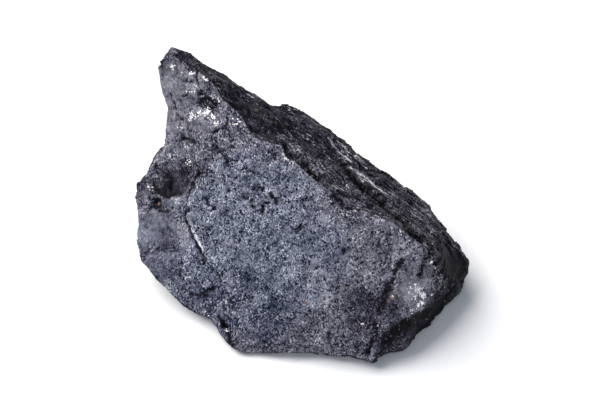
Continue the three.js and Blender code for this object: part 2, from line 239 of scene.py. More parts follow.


# ------------------------------------------------------- places on the surface
# Each place is a position in mm: (x, y) lies where the surface is seen from above, and
# (x, y, z) at the surface point nearest to it.

# Cracks, sunk in and darkened partly with painted shade: width and depth in mm, then the points that each
# follows
CRACKS = {
    "neck": (0.5, 0.6, [(-20, 20, 36.5), (-20, 17, 35.5), (-21.5, 17, 35), (-23.5, 16.5, 33.5)]),
    "neck end": (0.3, 0.4, [(-23.5, 16.5, 33.5), (-25, 16, 33), (-26, 15, 32)]),
    "upper fold": (0.35, 0.3, [(-23, 12.5, 32.5), (-24.5, 11, 30.5), (-25.5, 10, 29.5)]),
    "neck branch": (0.4, 0.4, [(-20, 17, 35.5), (-19, 15, 34.5), (-18.5, 13.5, 34)]),
    "neck fold": (0.5, 0.4, [(-21.5, 12, 31), (-19.5, 10.5, 30), (-17.5, 9.5, 30.5)]),
    "horn notch": (1.0, 1.4, [(-38, 33.5, 44), (-37.5, 33, 43.5), (-37, 32, 43)]),
    "horn gap": (0.5, 0.4, [(-28.5, 31, 43), (-27.5, 30, 42.5), (-28.5, 29, 41.5), (-27.5, 28, 40.5)]),
    "horn groove": (0.55, 0.3, [(-35.5, 27.5, 37.5), (-35, 26, 36), (-34, 24.5, 35), (-33.5, 23, 33.5),
        (-32, 22, 32.5)]),
    "under shelf": (0.7, 0.6, [(-32, 18.5, 28.5), (-30, 17.5, 29), (-28.5, 16, 30)]),
    "hollow rim": (0.8, 0.3, [(-40.5, 10.5, 18.5), (-39.5, 9, 17.5), (-38, 7, 17.5), (-36, 6, 17.5),
        (-34, 6.5, 18.5)]),
    "hollow foot": (0.5, 0.4, [(-41.5, 7.5, 15.5), (-40, 6.5, 15.5), (-40, 5.5, 14.5), (-38.5, 4, 14.5),
        (-36.5, 3, 15.5)]),
    "seam top": (0.7, 0.6, [(-27.5, 8.5, 27), (-30, 5.5, 22), (-31, 3.5, 20.5)]),
    "seam": (1.0, 0.8, [(-31, 0, 20.5), (-31.5, -0.5, 18.5), (-31, -2, 18), (-30.5, -4.5, 17.5),
        (-29.5, -6, 17), (-28.5, -8, 16), (-27, -9.5, 15), (-26.3, -11, 14), (-26, -12.5, 13.5)]),
    "face fold": (0.5, 0.4, [(-26, 2, 24), (-25, 0.5, 23), (-23, -0.5, 22.5)]),
    "lobe": (0.45, 0.3, [(-43.5, -6.5, 8.5), (-41.5, -5.5, 9.5), (-39, -5, 10)]),
    "lobe foot": (0.6, 0.4, [(-32, -10.5, 11.5), (-33, -13, 8.5)]),
    "low left": (0.8, 0.4, [(-30, -17.5, 6.5), (-27.5, -18.5, 7), (-24, -18, 9)]),
    "low left foot": (0.5, 0.4, [(-25.5, -21.5, 5), (-23, -21.5, 7)]),
    "low corner": (0.9, 0.8, [(-22, -24.5, 5), (-20.5, -26.5, 3.5), (-19.5, -28.5, 3), (-19, -31, 2)]),
    "face top": (0.4, 0.4, [(-20.5, 10.5), (-19.5, 7.5)]),
    "face top low": (0.4, 0.4, [(-16.5, 7), (-13.5, 7), (-10.5, 6)]),
    "crest bay": (1.6, 0.7, [(-5, 13, 33.5), (-4, 11.5, 32), (-3, 10, 32), (-1.5, 9.5, 31.5)]),
    "crest bay right": (1.5, 0.7, [(1, 7.5, 31), (2.5, 6, 30), (4.5, 4.5, 29.5)]),
    "face corner": (1.1, 0.5, [(8.5, -0.5, 28), (10, -1.5, 27.5), (11, -3, 26.5)]),
    "behind crest": (1.9, 1.0, [(9, 16, 24), (13.5, 8.5, 24), (17.5, 5.5, 22.5), (19.5, 3, 22.5),
        (21.5, 1.5, 22.5), (23.5, -3, 23.5)]),
    "along crest": (1.4, 0.9, [(23.5, -3, 23.5), (27, -5, 23), (29.5, -9.5, 24), (32, -12, 23.5)]),
    "crest notch": (0.4, 0.5, [(27.5, -10, 25), (27.5, -12.5, 24)]),
    "right end": (0.85, 0.6, [(34.5, -12, 21.5), (33.5, -15, 22), (33, -16, 20.5), (32, -17.5, 19),
        (31, -19, 17.5)]),
    "bright facet top": (1.0, 0.5, [(26, -17, 21), (25, -19, 19.5), (24, -20.5, 18)]),
    "bright facet": (1.7, 0.5, [(23.5, -21.5, 17.5), (22.5, -23, 16), (21.5, -25, 14.5),
        (21, -27, 12.5)]),
    "wall": (2.4, 0.4, [(39, -17.5, 4.5), (36.5, -20, 5.5), (34, -23.5, 6.5), (30, -27, 9),
        (27, -29, 9.5), (24.5, -31, 8.5), (22, -33, 7)]),
    "wall foot": (1.8, 0.3, [(41, -16, 5.5), (37.5, -20, 3), (33.5, -25, 2.5), (29, -28.5, 2)]),
    "front foot": (0.7, 0.2, [(-16, -31.6, 1), (-8, -32, 1), (0, -32, 1), (6, -32.3, 1),
        (12, -33.5, 1.5)]),
    "front tip": (0.9, 0.8, [(19.5, -29.5, 10), (20, -31.5, 8.5), (18.5, -33.5, 6.5), (17.5, -35, 5)]),
}

# Bright threads of the beds, mostly painted highlights where bed edges and ridges catch the light, with a
# few pale fibres in the hollow: width in mm, strength, and the points that each follows
STREAKS_AND_PAINTED_HIGHLIGHTS = {
    "rim": (0.55, 0.95, [(8.5, 23.5, 22), (10, 22, 22), (12, 20, 21.5), (14, 18, 21.5),
        (16, 16.5, 20.5), (17.5, 15.5, 19.5)]),
    "rim inner": (0.55, 0.95, [(7.5, 21, 25.5), (9, 19, 24.5), (11, 17.5, 23), (12, 16.5, 22.5),
        (13.5, 15, 22.5)]),
    "under rim low": (0.4, 0.6, [(9, 16.5, 24.5), (10.5, 16, 23.5), (12, 15, 23.5)]),
    "ledge": (0.5, 1.3, [(13.5, 12.5, 23), (15.5, 11, 22.5), (17.5, 10, 21.5), (19.5, 8, 21),
        (22, 5.5, 21)]),
    "ledge low": (0.3, 0.5, [(22.5, 5.5, 21), (24.5, 3.5, 21), (26.5, 0.5, 21)]),
    "crest lip": (0.35, 0.5, [(-0.5, 6.5, 32), (0.5, 5.5, 31.5), (1.5, 4.5, 30.5)]),
    "crest arc": (0.4, 0.3, [(-7, 15, 33), (-5, 16.5, 32.5), (-3, 17, 31.5)]),
    "seam": (0.44, 2.2, [(-29, -5.5, 18.5), (-28, -7, 17), (-26.5, -9.5, 16)]),
    "seam top": (0.35, 0.9, [(-31, -1, 19), (-30.3, -3, 18.5), (-29.5, -4.5, 18.5), (-29, -5.5, 18.5)]),
    "seam foot": (0.35, 0.5, [(-25.5, -9.5, 15.5), (-25, -11, 14.5)]),
    "wall": (0.3, 0.32, [(38, -19.5, 4.5), (35.5, -22, 5.5), (33, -24.5, 5), (31.5, -26.5, 5)]),
    "wall low": (0.35, 0.3, [(30.5, -27, 5), (28.5, -29, 5), (26.5, -31, 5.5), (24, -32.5, 5)]),
    "wall top": (0.35, 0.3, [(39.5, -15.5, 10), (37, -18.5, 11.5), (35.5, -20, 11)]),
    "horn edge": (0.35, 0.25, [(-34, 36.5, 45), (-31.5, 36.5, 44), (-29.5, 35.5, 42.5)]),
    "hollow fibre": (0.3, 0.3, [(-32, 9, 21), (-30, 9.5, 23)]),
    "hollow fibre low": (0.3, 0.3, [(-31.5, 6, 20.5), (-29.5, 6, 23.5)]),
}

# Round marks: a place, a radius in mm, and a strength. A bulge's strength is its height in mm.
BULGES = [
    ((27, -29.5, 4), 6.0, 1.3), ((17, -27), 9.0, -0.5), ((27, -22), 5.0, 0.8),
    ((-35.5, 9, 17.5), 4.5, 0.4), ((-33, 3, 19.5), 1.8, 0.4),
]
# Dust and painted shading: amount added to the tone, below 0 where the coal is bare. Besides real dust and
# bare coal, these spots paint shade into the hollow, over the lower face and along the foot of the walls,
# and paint light on to the right facet, which faces away from the key light
DUST_AND_PAINTED_SHADING = [
    ((-34, 10, 19), 7.0, -0.25), ((-30, 9.5, 24.5), 5.5, -0.16), ((-38.5, 10, 19), 4.5, -0.1),
    ((-37.5, 3.5, 15.5), 3.0, -0.12), ((16, -28), 12.0, -0.15), ((-27.5, -18.5), 8.0, -0.1),
    ((-7, -31), 9.0, -0.06), ((-26, -27), 9.0, -0.06), ((-38, -9), 9.0, -0.1),
    ((-42.5, 11, 17), 5.5, -0.16), ((-43, 4, 13), 5.0, -0.06), ((-41, -3, 11), 7.0, -0.05),
    ((-36, -2, 12), 5.0, -0.1), ((-7, 21, 33), 8.0, -0.1), ((-3.5, 29.5, 27.5), 4.0, -0.2),
    ((0, 14, 30), 6.0, 0.04), ((5, 9.5, 28.5), 6.0, 0.05), ((31, -22, 14), 7.0, 0.13),
    ((34.5, -21, 13), 3.5, -0.12), ((-10, -22), 10.0, -0.03), ((40, -12, 13), 9.0, -0.08),
    ((33, -26, 5), 9.0, -0.12), ((42, -14, 6), 8.0, -0.12), ((22, -33, 4), 6.0, -0.08),
    ((11, 4, 26), 4.5, 0.07), ((26, 3, 20), 5.0, 0.05), ((32, 3.5, 15), 4.0, 0.08),
    ((13, 22, 21), 5.0, 0.02), ((18, 10, 22), 4.0, 0.06), ((-16, 22, 36), 6.0, -0.05),
    ((-25, 30, 40), 6.0, -0.04), ((19.5, -26, 13), 5.0, -0.03), ((30.5, -25, 10), 3.0, 0.06),
    ((24.5, -26, 12), 4.0, -0.12), ((-15, 0, 24), 14.0, 0.02), ((30, -14, 22.5), 3.5, 0.13),
    ((41.5, -11, 12), 6.0, -0.06), ((-23, 25.5, 40.5), 4.0, -0.12), ((-27.5, 18, 32.5), 6.0, -0.06),
    ((-23, 12, 32), 2.6, -0.16), ((-25, 10.5, 30), 2.6, -0.17), ((-27, 8.5, 28), 2.6, -0.14),
    ((-34, 7.5, 19), 4.0, -0.1), ((-17, -1.5, 22.5), 4.5, 0.08), ((-12, -6, 20), 5.0, -0.04),
    ((3.5, 0, 28), 4.0, 0.08), ((9, -4, 27), 3.0, -0.09), ((5, -5.5, 25), 4.5, 0.06),
    ((14, 3.5, 25), 3.5, 0.05), ((9, -8.5, 23.5), 4.5, 0.07), ((-18, -18, 11), 8.0, -0.07),
    ((-9.5, -25.5, 8), 7.0, -0.06), ((-0.5, -29, 6), 5.0, -0.05), ((4.5, -21, 13), 6.0, 0.16),
    ((9, -25, 10), 5.0, 0.07), ((-22, -13, 13.5), 4.5, 0.08), ((-17, -15, 14), 4.0, -0.05),
    ((14.5, -29, 7), 4.0, -0.06), ((3.5, -28.5, 6), 4.0, -0.07), ((18.5, -21, 17), 4.0, 0.05),
    ((38.5, -13, 15), 5.0, -0.08), ((32, -27, 3), 6.0, -0.06), ((-33, 30, 40), 8.0, 0.03),
    ((-28, -2, 20), 5.0, 0.02), ((12, -14, 19), 20.0, -0.03), ((-6, -22, 10), 14.0, -0.03),
    ((-18, -28, 4.5), 6.0, -0.12), ((-12, -31.5, 2), 4.0, -0.1), ((-8, 10.5, 33.5), 5.0, -0.11),
    ((-4, 15.5, 33), 4.5, 0.08), ((-30, 12, 26), 5.0, -0.09), ((-28.5, 5.5, 22), 4.0, -0.11),
    ((-33.5, 12.5, 22), 4.0, 0.06), ((-23, 0, 23), 4.0, 0.03), ((32, -21, 14.5), 4.5, -0.06),
    ((12, -0.5, 27.5), 4.5, -0.07), ((14.5, -1.5, 26), 3.0, -0.02), ((9, -1, 27.5), 3.0, -0.06),
]
# Turned-away facets that hold dust all the same, and bare places that face upwards. The dust on the right
# facet is partly painted light, and the bare places along the foot of the right wall are partly painted
# shade
DUSTING_AND_PAINTED_SHADING = [
    ((31, -21, 14), 8.5, 0.5), ((28, -25, 12), 7.5, 0.5), ((33, -17, 17), 4.5, 0.4),
    ((-37, 31, 40), 9.0, 0.5), ((-39, 27, 35), 7.0, 0.4), ((-8, 21, 34), 9.0, -0.5),
    ((-1, 16, 31), 7.0, -0.4), ((-16, 26, 36), 6.0, -0.3), ((9, 3, 27.5), 4.0, -0.3),
    ((-32, 34.5, 44), 3.5, -0.6), ((-29, 32, 43), 3.0, -0.5), ((36.5, -20.5, 5), 4.5, -0.5),
    ((32, -25, 5), 4.5, -0.5), ((27.5, -29.5, 6), 4.0, -0.5), ((40.5, -16.5, 5), 4.5, -0.4),
    ((34, -20, 14), 2.5, 0.3), ((37, -16, 14.5), 4.5, -0.5),
]
# Pits, sunk in and darkened: partly the coal's own black, partly painted shade in the recess
PITS = [
    ((-31.5, 29, 40.5), 0.8, 0.7), ((-29.5, 28.5, 40.5), 0.9, 0.8), ((-33, 25, 36.5), 0.7, 0.5),
    ((-39.5, 6, 15), 2.2, 1.0), ((-38, 4, 15), 1.6, 0.6), ((-31, 0, 20.5), 1.3, 1.0),
    ((-26, 24, 37.5), 2.4, 0.9), ((-24, 22.5, 37), 1.9, 0.9), ((-15, 1.5), 1.3, 0.8),
    ((-10.5, -2), 1.4, 0.9), ((-8, 1), 1.3, 0.8), ((-12, 3), 1.2, 0.7), ((-6.5, 0), 1.0, 0.7),
    ((-13, -0.5), 1.1, 0.7), ((-13.5, 0.5, 24.5), 0.9, 1.0), ((-12.5, -0.5, 23.5), 0.8, 0.8),
    ((-10.5, -1.5, 24), 1.0, 1.0), ((-9, -0.5, 24.5), 0.8, 0.8), ((-7.5, 0.5, 26), 1.0, 1.0),
    ((-10.5, 2.5, 26.5), 0.8, 0.8), ((-0.5, -7), 1.0, 0.8), ((11.5, -13), 1.4, 0.7),
    ((-7, -9.5), 1.0, 0.7), ((-16, -6), 0.9, 0.7), ((-24, -1, 22), 0.8, 0.8), ((-25, -5, 19), 0.9, 0.7),
    ((-19.5, 3, 25.5), 0.9, 0.7), ((-20, 9, 29.5), 1.0, 0.6), ((-27.5, 8, 26), 0.8, 0.7),
    ((-17, 10, 31), 0.8, 0.6), ((-10.5, -7, 20.5), 0.8, 0.6), ((4.5, -16.5), 0.7, 0.6),
    ((7.5, -21), 0.8, 0.6), ((-1.5, -22.5), 0.7, 0.6), ((-13.5, -21.5), 0.7, 0.5),
    ((-34, 35, 43.5), 0.7, 0.9), ((-31.5, 26, 37.5), 0.9, 0.8), ((-27, 25.5, 39), 1.5, 0.9),
    ((-25, 24, 38), 1.6, 1.0), ((-23.5, 23, 37.5), 1.5, 1.0), ((-19.5, -4), 0.9, 0.6),
    ((-18.5, 12.5), 1.0, 0.6), ((7.5, -31), 1.6, 0.7), ((-4.5, 12.5, 33), 2.0, 0.6),
    ((2.5, 6, 30), 1.6, 0.6), ((-20.5, -26.5, 4), 1.5, 0.7),
]
# Painted glints: white painted into the base colour as highlights, each a place, a radius in mm and a
# strength
PAINTED_GLINTS = [
    ((-27.6, 26.2, 39.5), 0.5, 1.1), ((-26, 24.6, 38.5), 0.45, 1.1), ((-24.6, 25, 39), 0.45, 1.0),
    ((-35, 32.5, 42), 0.8, 1.8), ((-36.5, 34.5, 43.5), 0.7, 1.0), ((-32, 31.5, 41), 0.6, 0.9),
    ((-30, 30, 42), 0.8, 1.3), ((-29, 30, 42), 0.8, 1.3), ((-26.5, 28.5, 42), 0.7, 1.3),
    ((-25.5, 28, 41.5), 0.7, 1.3), ((-30.5, 27, 38.5), 0.8, 0.7), ((-29.5, 26.5, 38.5), 0.9, 0.6),
    ((-28.5, 27.5, 40), 1.2, 0.5), ((-22, 23.5, 38.5), 1.0, 0.8), ((-27, 25, 38.5), 0.5, 1.0),
    ((-24, 24.5, 38.5), 0.8, 0.5), ((-29.5, 21.5, 34), 1.9, 0.92), ((-27.5, 21.5, 35), 1.9, 0.88),
    ((-25.5, 21.5, 35.7), 1.9, 0.95), ((-24, 20.5, 35.2), 1.7, 0.92), ((-22.5, 18.7, 35), 1.2, 0.95),
    ((-28, 22, 35), 0.6, 1.2), ((-25, 21.5, 36), 0.6, 1.3), ((-23.5, 20.5, 35), 0.6, 1.2),
    ((-32, 20.5, 31.5), 0.9, 0.8), ((-33, 20, 30.5), 1.4, 0.4), ((-31, 16, 27.5), 1.0, 0.5),
    ((-30.5, 12.5, 25.5), 1.6, 0.55), ((-17.5, 18, 36.5), 1.8, 0.5), ((-42, 10, 17.5), 0.6, 1.3),
    ((-41.5, 9.5, 17), 1.1, 0.5), ((-33.5, -16.5, 6), 0.7, 0.9), ((-20, -21, 8.5), 0.6, 1.1),
    ((-25, -23, 4), 0.5, 1.0), ((-20, -27, 3.5), 0.8, 0.9), ((-4.5, 9.5, 33), 0.8, 1.0),
    ((-4, 8.5, 32.5), 0.9, 1.1), ((-2.5, 7.5, 32), 1.1, 0.85), ((-1, 12, 31.5), 0.5, 1.4),
    ((12.5, 5, 25), 0.9, 0.6), ((11.5, 3, 26), 0.7, 0.5), ((12.5, 5, 25), 1.2, 0.3),
    ((16, -29, 9.5), 0.6, 1.2), ((20, -30, 10), 0.5, 1.0), ((34.5, -11, 21), 0.9, 0.6),
    ((34, -13.5, 22.5), 0.6, 0.7), ((34.5, -15.5, 19), 0.8, 1.1), ((35, -16, 17.5), 0.9, 0.6),
    ((30, -21, 16), 1.0, 1.0), ((31, -21.5, 14.5), 1.6, 0.95), ((32, -22, 13), 1.5, 1.1),
    ((32.5, -22.5, 13), 1.0, 1.2), ((30, -23, 13.5), 1.2, 0.95), ((32, -24, 12), 1.0, 1.05),
    ((31, -24.5, 12), 1.2, 1.0), ((29.5, -26, 11.5), 1.2, 0.9), ((34.5, -21, 11.5), 1.0, 1.0),
    ((29.5, -22, 15), 3.0, 0.3), ((24, -24, 15.5), 0.6, 1.2), ((24, -10.5, 25), 1.0, 0.4),
    ((-45, -2, 10), 0.6, 1.2),
]
RUST = [
    ((-39.5, 6, 15), 0.5, 1.0), ((-12, 24, 34), 0.45, 0.7), ((-8, 20, 33.5), 0.5, 0.4),
    ((1, -23), 0.6, 1.0), ((24, -24, 15.5), 0.7, 1.0), ((23, -25, 14.5), 0.5, 0.8),
    ((34, -11, 18.5), 0.5, 0.5),
]
SMOOTH_FACETS = [
    ((-37, 31, 40), 8.5, 1.0), ((-33.5, 27, 38), 8.5, 1.0), ((-30, 28, 39.5), 5.5, 1.0),
    ((-28, 20, 33), 5.5, 1.0), ((-24, 19, 34.5), 4.0, 0.7), ((-35, 21, 33), 7.0, 1.0),
    ((-33, 16, 28), 5.0, 0.5), ((-40, 0, 12), 8.5, 1.0), ((-38, -9, 9), 8.0, 0.7),
    ((-33, -4, 13), 5.0, 0.6), ((-30, -18, 6), 5.0, 0.4), ((29, -22, 15), 8.0, 0.8),
    ((-42, 9, 16), 5.0, 0.6), ((-34.5, 9.5, 19), 7.5, 1.0), ((-31, 6, 21), 4.0, 0.6),
    ((41.5, -11, 12), 6.0, 0.9), ((38.5, -12, 15), 5.0, 0.9), ((37, -21, 6), 5.5, 0.35),
    ((12, -0.5, 27.5), 4.0, 0.6), ((29, -28.5, 6), 6.0, 0.35),
]
# Crumbled places, black between pale flakes
ROUGH_ZONES = [
    ((33, -16, 20.5), 3.5, 0.8), ((33, -25, 5), 7.0, 0.6), ((39, -18, 8), 5.0, 0.5),
    ((26, -31, 5), 5.0, 0.6), ((-1, 11, 32), 5.0, 1.0), ((4, 8.5, 29), 5.5, 1.0),
    ((-4, 14, 33.5), 3.5, 0.8), ((-25, 23, 37), 3.5, 1.0), ((-10, 20, 34.5), 5.0, 0.4),
    ((20, -31, 8), 4.0, 0.8), ((34, -11, 20), 3.5, 0.6), ((13, 5, 25), 4.0, 0.5),
    ((-26, -19, 6), 5.0, 0.4), ((24.5, -20.5, 18.5), 3.5, 0.8), ((21.5, -25.5, 14), 3.5, 0.8),
    ((10, -1.5, 27.5), 2.5, 0.8),
]
# Calm stretches, where the lump's outline is nearly straight
CALM = [
    ((-34, 34, 43), 10.0, 1.0), ((-24, 34, 38), 10.0, 0.9), ((-12, 32, 31), 8.0, 0.6),
    ((6, 28, 22), 9.0, 0.5), ((41, -10, 13), 6.0, 0.6),
]


# ---------------------------------------------------------------- node helpers


class Net:
    """Adds nodes to a tree. A socket or a plain value may feed any input.

    A net for a surface also has its place, the position on that surface in mm."""

    def __init__(self, tree):
        self.tree = tree

    def add(self, kind, feeds=None, **settings):
        node = self.tree.nodes.new(kind)
        for name, value in settings.items():
            setattr(node, name, value)
        for key, value in (feeds or {}).items():
            self.feed(node.inputs[key], value)
        return node

    def feed(self, socket, value):
        if isinstance(value, bpy.types.NodeSocket):
            self.tree.links.new(value, socket)
        else:
            socket.default_value = value

    def math(self, operation, *values):
        node = self.add("ShaderNodeMath", operation=operation)
        for socket, value in zip(node.inputs, values):
            self.feed(socket, value)
        return node.outputs[0]

    def plus(self, *values):
        total = values[0]
        for value in values[1:]:
            total = self.math("ADD", total, value)
        return total

    def times(self, *values):
        total = values[0]
        for value in values[1:]:
            total = self.math("MULTIPLY", total, value)
        return total

    def vector(self, operation, *values):
        node = self.add("ShaderNodeVectorMath", operation=operation)
        for socket, value in zip(node.inputs, values):
            self.feed(socket, value)
        single = operation in ("DOT_PRODUCT", "LENGTH", "DISTANCE")
        return node.outputs["Value" if single else "Vector"]

    def scaled(self, vector, factor):
        node = self.add("ShaderNodeVectorMath", operation="SCALE")
        self.feed(node.inputs[0], vector)
        self.feed(node.inputs["Scale"], factor)
        return node.outputs["Vector"]

    def along(self, direction):
        """how far a place lies along a direction, in mm"""
        return self.vector("DOT_PRODUCT", self.place, tuple(direction))

    def axis(self, vector, letter):
        return self.add("ShaderNodeSeparateXYZ", {0: vector}).outputs[letter]

    def joined(self, x, y, z):
        return self.add("ShaderNodeCombineXYZ", {0: x, 1: y, 2: z}).outputs[0]

    def eased(self, value, low, high, to_low=0.0, to_high=1.0):
        """value from low..high to to_low..to_high, eased and held at the ends"""
        feeds = {0: value, 1: low, 2: high, 3: to_low, 4: to_high}
        return self.add("ShaderNodeMapRange", feeds, interpolation_type="SMOOTHSTEP").outputs[0]

    def ramp(self, value, name):
        return self.eased(value, *RAMPS[name])

    def mix(self, factor, a, b):
        """a where factor is 0, b where it is 1"""
        return self.plus(a, self.times(factor, self.math("SUBTRACT", b, a)))

    def cut(self, value, factor, share):
        """value, less up to share of itself as factor goes to 1"""
        return self.times(value, self.math("SUBTRACT", 1.0, self.times(factor, share)))

    def swing(self, value, amount):
        """a 0..1 value as a swing about 0"""
        return self.times(self.math("SUBTRACT", value, 0.5), amount)

    def noise(self, vector, size, detail=2.0, rough=0.5):
        feeds = {"Vector": vector, "Scale": self.over(size), "Detail": detail, "Roughness": rough}
        return self.add("ShaderNodeTexNoise", feeds)

    def texture(self, name, vector=None):
        return self.noise(self.place if vector is None else vector, *NOISES[name]).outputs["Fac"]

    def cells(self, vector, size, **settings):
        feeds = {"Vector": vector, "Scale": self.over(size)}
        return self.add("ShaderNodeTexVoronoi", feeds, **settings)

    def over(self, size):
        """the texture scale that gives features of this size"""
        return self.math("DIVIDE", 1.0, size) if isinstance(size, bpy.types.NodeSocket) else 1.0 / size

    def centred(self, colour):
        """a 0..1 random colour as a vector from -1 to 1"""
        return self.vector("MULTIPLY_ADD", colour, (2.0, 2.0, 2.0), (-1.0, -1.0, -1.0))

    def warped(self, vector, noise, amount):
        """a place moved by up to amount as the noise says"""
        return self.vector("ADD", vector, self.scaled(self.centred(noise.outputs["Color"]), amount))


# --------------------------------------------------------- marks on the surface


def lay_on(ground, places):
    """Places put down on the ground, a search tree of the surface, in mm"""
    found = []
    for place in places:
        aim = Vector((*place, 10.0)[:3]) * MM
        hit = None
        if len(place) == 2:
            hit = ground.ray_cast(Vector((aim.x, aim.y, 1.0)), Vector((0, 0, -1)))[0]
        if hit is None:
            hit = ground.find_nearest(aim)[0]
        found.append(np.array(hit) / MM)
    return found


def spots(points, ground, marks, blend="max"):
    """Strength of the marks at each point: full round a mark's centre, none at its radius"""
    strength = np.zeros(len(points))
    centres = lay_on(ground, [mark[0] for mark in marks])
    for centre, (_, radius, full) in zip(centres, marks):
        distance = np.linalg.norm(points - centre, axis=1)
        near = np.clip((1 - distance / radius) * FIRMNESS["spot"], 0, 1)
        bump = full * near * near * (3 - 2 * near)
        strength = strength + bump if blend == "add" else np.maximum(strength, bump)
    return strength


def groove(points, ground, width, path):
    """1 on the path, falling to 0 at its width"""
    places = []
    for start, end in zip(path, path[1:]):
        parts = max(1, round(math.dist(start, end) / PATH_STEP))
        for part in range(parts + 1):
            places.append(tuple(a + (b - a) * part / parts for a, b in zip(start, end)))
    nearest = np.full(len(points), np.inf)
    for place in lay_on(ground, places):
        nearest = np.minimum(nearest, np.linalg.norm(points - place, axis=1))
    return np.clip(1 - nearest / width, 0, 1)


def jitter(points, size, amount):
    """Points moved by a few steady waves, so that marks have ragged outlines"""
    turns = points @ WAVES * (2 * math.pi / size)
    finer = turns * 2.3 + 1.7
    return points + amount * (np.sin(turns) + 0.6 * np.sin(finer[:, ::-1])) / 1.6


def mark_surface(surface):
    """Write the masks that the relief and the finish read"""
    mesh = surface.data
    count = len(mesh.vertices)
    points = np.empty(count * 3)
    mesh.vertices.foreach_get("co", points)
    points = points.reshape(-1, 3) / MM
    ground = BVHTree.FromObject(surface, bpy.context.evaluated_depsgraph_get())
    ragged = jitter(points, *RAGGED)
    broad = jitter(ragged, *BROADLY)
    wavy = jitter(points, *SLIGHTLY)
    crack = np.zeros(count)
    dent = np.zeros(count)
    for width, depth, path in CRACKS.values():
        line = groove(ragged, ground, width, path)
        crack = np.maximum(crack, np.minimum(line * FIRMNESS["crack"], 1))
        dent = np.maximum(dent, depth * line)
    streak_and_painted_highlight = np.zeros(count)
    for width, strength, path in STREAKS_AND_PAINTED_HIGHLIGHTS.values():
        line = np.minimum(groove(wavy, ground, width, path) * FIRMNESS["streak_and_painted_highlight"], 1)
        streak_and_painted_highlight = np.maximum(streak_and_painted_highlight, strength * line)
    # The dust and dusting masks carry painted shade and painted light as well as dust; the streak and
    # glint masks are mostly painted highlights
    masks = {
        "streak_and_painted_highlight": streak_and_painted_highlight,
        "crack": crack,
        "dent": dent,
        "calm": spots(points, ground, CALM),
        "bulge": spots(points, ground, BULGES, "add"),
        "dust": spots(broad, ground, DUST_AND_PAINTED_SHADING, "add"),
        "dusting_and_painted_shading": spots(ragged, ground, DUSTING_AND_PAINTED_SHADING, "add"),
        "rough_zone": spots(ragged, ground, ROUGH_ZONES),
        "pit": spots(ragged, ground, PITS),
        "painted_glint": spots(wavy, ground, PAINTED_GLINTS),
        "rust": spots(points, ground, RUST),
        "smooth_facet": spots(ragged, ground, SMOOTH_FACETS),
    }
    for name, values in masks.items():
        layer = mesh.attributes.new(name, "FLOAT", "POINT")
        layer.data.foreach_set("value", np.asarray(values, np.float32))


# ---------------------------------------------------------------- fine surface


def worked_in(item, modifier):
    """A plain mesh of the item with its modifier worked in, and the modifier gone"""
    evaluated = item.evaluated_get(bpy.context.evaluated_depsgraph_get())
    mesh = bpy.data.meshes.new_from_object(evaluated)
    item.modifiers.remove(modifier)
    return mesh


def fine_base(node):
    """The CAD solid's own shape on an even, fine mesh, with its underside one flat face"""
    mesh = node.data.copy()
    source = bpy.data.objects.new("fine_base", mesh)
    bpy.context.scene.collection.objects.link(source)
    work = bmesh.new()
    work.from_mesh(mesh)
    bmesh.ops.remove_doubles(work, verts=work.verts, dist=0.001 * MM)
    work.to_mesh(mesh)
    work.free()
    remesh = source.modifiers.new("even", "REMESH")
    remesh.mode = "VOXEL"
    remesh.voxel_size = VOXEL * MM
    even = worked_in(source, remesh)
    source.data = even
    work = bmesh.new()
    work.from_mesh(even)
    flat = [face for face in work.faces if all(vertex.co.z < UNDERSIDE * MM for vertex in face.verts)]
    bmesh.ops.dissolve_faces(work, faces=flat, use_verts=True)
    for vertex in work.verts:
        vertex.co.z = max(vertex.co.z, 0.0)
    work.to_mesh(even)
    work.free()
    return source


